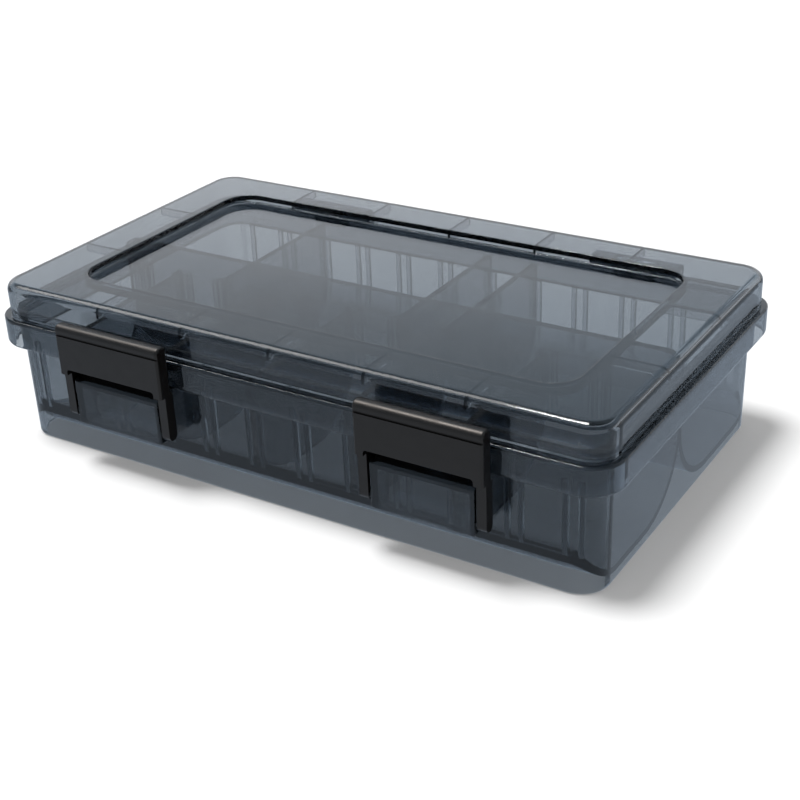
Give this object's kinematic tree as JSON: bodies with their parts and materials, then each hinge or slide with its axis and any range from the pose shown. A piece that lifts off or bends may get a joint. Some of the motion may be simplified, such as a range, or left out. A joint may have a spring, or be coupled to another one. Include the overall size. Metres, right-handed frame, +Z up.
{
  "type": "tackle box",
  "caption": "Flat hinged storage box of smoke-tinted clear plastic, with snap latches in front and lift-out dividers in round-bottomed troughs.",
  "frame": {"origin": "on the table, under the middle of the whole outline", "axes": "+X along the box to the right as seen from the latches, +Y towards the hinges, +Z up"},
  "size_m": [0.2162, 0.1365, 0.0534],
  "materials": {
    "smoke_plastic": "smoke-tinted clear moulded plastic, glossy on both sides",
    "black_plastic": "black moulded plastic, satin",
    "pin_steel": "drawn steel wire"
  },
  "bodies": {
    "base": {"base_tub": "smoke_plastic", "hinge_pin_left": "pin_steel", "hinge_pin_right": "pin_steel"},
    "lid": {"lid_shell": "smoke_plastic"},
    "latch_left": {"latch_left": "black_plastic"},
    "latch_right": {"latch_right": "black_plastic"},
    "divider_front_1": {"divider_front_1": "smoke_plastic"},
    "divider_front_2": {"divider_front_2": "smoke_plastic"},
    "divider_front_3": {"divider_front_3": "smoke_plastic"},
    "divider_front_4": {"divider_front_4": "smoke_plastic"},
    "divider_front_5": {"divider_front_5": "smoke_plastic"},
    "divider_rear_1": {"divider_rear_1": "smoke_plastic"},
    "divider_rear_2": {"divider_rear_2": "smoke_plastic"},
    "divider_rear_3": {"divider_rear_3": "smoke_plastic"}
  },
  "joints": [
    {"name": "lid_hinge", "type": "hinge", "parent": "base", "child": "lid", "pos_m": [0, 0.06565, 0.0425], "axis": [-1, 0, 0], "range_deg": [0, 180]},
    {"name": "latch_left_pivot", "type": "hinge", "parent": "base", "child": "latch_left", "pos_m": [-0.0543, -0.0648, 0.0186], "axis": [1, 0, 0], "range_deg": [-2, 120]},
    {"name": "latch_right_pivot", "type": "hinge", "parent": "base", "child": "latch_right", "pos_m": [0.0543, -0.0648, 0.0186], "axis": [1, 0, 0], "range_deg": [-2, 120]},
    {"name": "divider_front_1_lift", "type": "slide", "parent": "base", "child": "divider_front_1", "axis": [0, 0, 1], "range_m": [0, 0.008]},
    {"name": "divider_front_2_lift", "type": "slide", "parent": "base", "child": "divider_front_2", "axis": [0, 0, 1], "range_m": [0, 0.008]},
    {"name": "divider_front_3_lift", "type": "slide", "parent": "base", "child": "divider_front_3", "axis": [0, 0, 1], "range_m": [0, 0.008]},
    {"name": "divider_front_4_lift", "type": "slide", "parent": "base", "child": "divider_front_4", "axis": [0, 0, 1], "range_m": [0, 0.008]},
    {"name": "divider_front_5_lift", "type": "slide", "parent": "base", "child": "divider_front_5", "axis": [0, 0, 1], "range_m": [0, 0.008]},
    {"name": "divider_rear_1_lift", "type": "slide", "parent": "base", "child": "divider_rear_1", "axis": [0, 0, 1], "range_m": [0, 0.008]},
    {"name": "divider_rear_2_lift", "type": "slide", "parent": "base", "child": "divider_rear_2", "axis": [0, 0, 1], "range_m": [0, 0.008]},
    {"name": "divider_rear_3_lift", "type": "slide", "parent": "base", "child": "divider_rear_3", "axis": [0, 0, 1], "range_m": [0, 0.008]}
  ]
}
